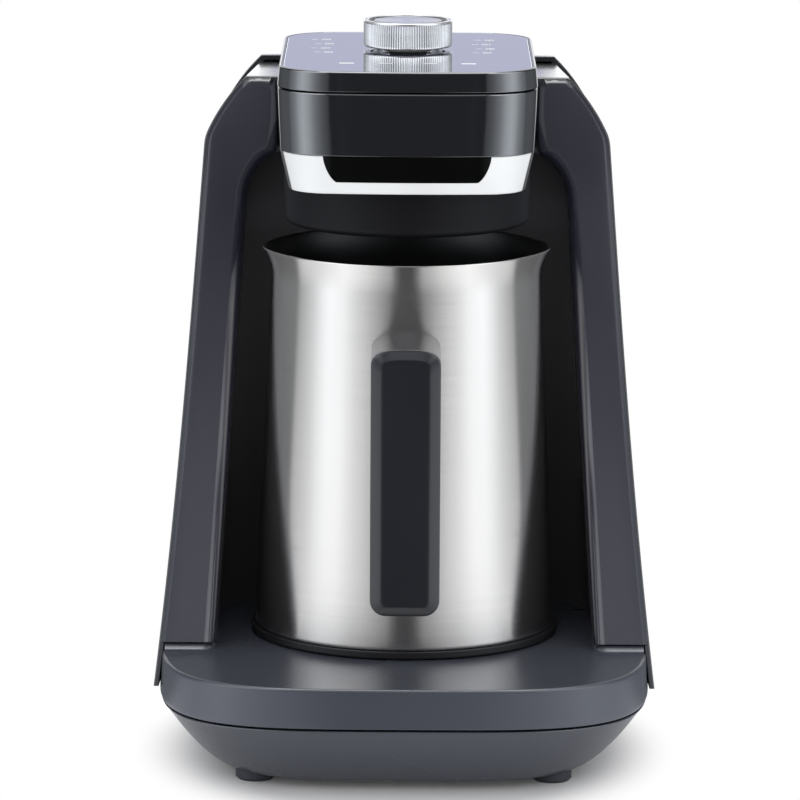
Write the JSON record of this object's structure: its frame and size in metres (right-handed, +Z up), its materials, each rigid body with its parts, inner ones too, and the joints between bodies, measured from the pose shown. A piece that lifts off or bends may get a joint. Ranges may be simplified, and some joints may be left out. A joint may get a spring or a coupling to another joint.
{
  "type": "electric coffee maker",
  "caption": "Electric coffee maker for brewing in a pot: slanted column, overhanging head with turning knob, draw-out steel pot with handle.",
  "frame": {"origin": "middle of the footprint, on the surface that the feet stand on", "axes": "+Z up, the front with the pot's handle faces -Y, +X to the right seen from the front"},
  "size_m": [0.18, 0.227, 0.26],
  "materials": {
    "charcoal_plastic": "fine satin grain",
    "slate_plastic": "satin",
    "cover_plastic": "satin",
    "foot_rubber": "matt",
    "screw_steel": "plain",
    "black_plastic": "satin",
    "contact_brass": "plain",
    "board_green": "coated board",
    "iron_core": "plain",
    "relay_blue": "plain",
    "film_yellow": "plain",
    "natural_nylon": "plain",
    "gloss_black": "polished",
    "dark_glass": "polished, dark behind",
    "amber_film": "film",
    "bright_trim": "satin",
    "lens_dark": "polished",
    "cable_grey": "plain",
    "knob_metal": "turned, bright ribs",
    "button_metal": "spun face",
    "pot_steel": "brushed upright",
    "plate_aluminium": "plain",
    "element_steel": "heat-dulled",
    "handle_plastic": "satin",
    "handle_face": "fine satin"
  },
  "bodies": {
    "machine": {"base_tub": "charcoal_plastic", "base_deck": "charcoal_plastic", "rubber_feet": "foot_rubber", "tub_screws": "screw_steel", "front_fascia": "slate_plastic", "outer_cover": "cover_plastic", "rear_cover": "cover_plastic", "rear_cover_screws": "screw_steel", "cord_gland": "black_plastic", "cord_clamp": "natural_nylon", "pot_socket": "black_plastic", "socket_contacts": "contact_brass", "socket_screws": "screw_steel", "power_board": "board_green", "power_board_screws": "screw_steel", "transformer": "iron_core", "relay": "relay_blue", "filter_capacitor": "film_yellow", "terminal_block": "natural_nylon", "head_shell": "gloss_black", "head_cap": "gloss_black", "glass_panel": "dark_glass", "touch_sheet": "amber_film", "trim_band": "bright_trim", "window_insert": "gloss_black", "sensor_skirt": "black_plastic", "sensor_board": "board_green", "sensor_lenses": "lens_dark", "control_board": "board_green", "control_board_screws": "screw_steel", "ribbon_cable": "cable_grey", "buzzer": "black_plastic", "head_screws": "screw_steel", "encoder_body": "black_plastic", "start_switch": "screw_steel", "knob_bush": "natural_nylon"},
    "knob": {"knob_ring": "knob_metal"},
    "button": {"start_button": "button_metal"},
    "pot": {"pot_body": "pot_steel", "pot_foot": "black_plastic", "pot_foot_screws": "screw_steel", "heater_plate": "plate_aluminium", "heating_element": "element_steel", "thermal_cutout": "natural_nylon", "pot_plug": "black_plastic", "plug_pins": "contact_brass", "handle_bracket": "screw_steel", "handle_grip": "handle_plastic", "handle_cover": "handle_face", "handle_screws": "screw_steel"}
  },
  "joints": [
    {"name": "knob_turn", "type": "hinge", "parent": "machine", "child": "knob", "pos_m": [0, 0.0017, 0.255], "axis": [0, 0, 1], "continuous": true},
    {"name": "start_press", "type": "slide", "parent": "machine", "child": "button", "axis": [0, 0, -1], "range_m": [0, 0.001], "stiffness_N_per_m": 600, "springref_m": -0.0005},
    {"name": "pot_pull", "type": "slide", "parent": "machine", "child": "pot", "axis": [0, -1, 0], "range_m": [0, 0.2]}
  ]
}
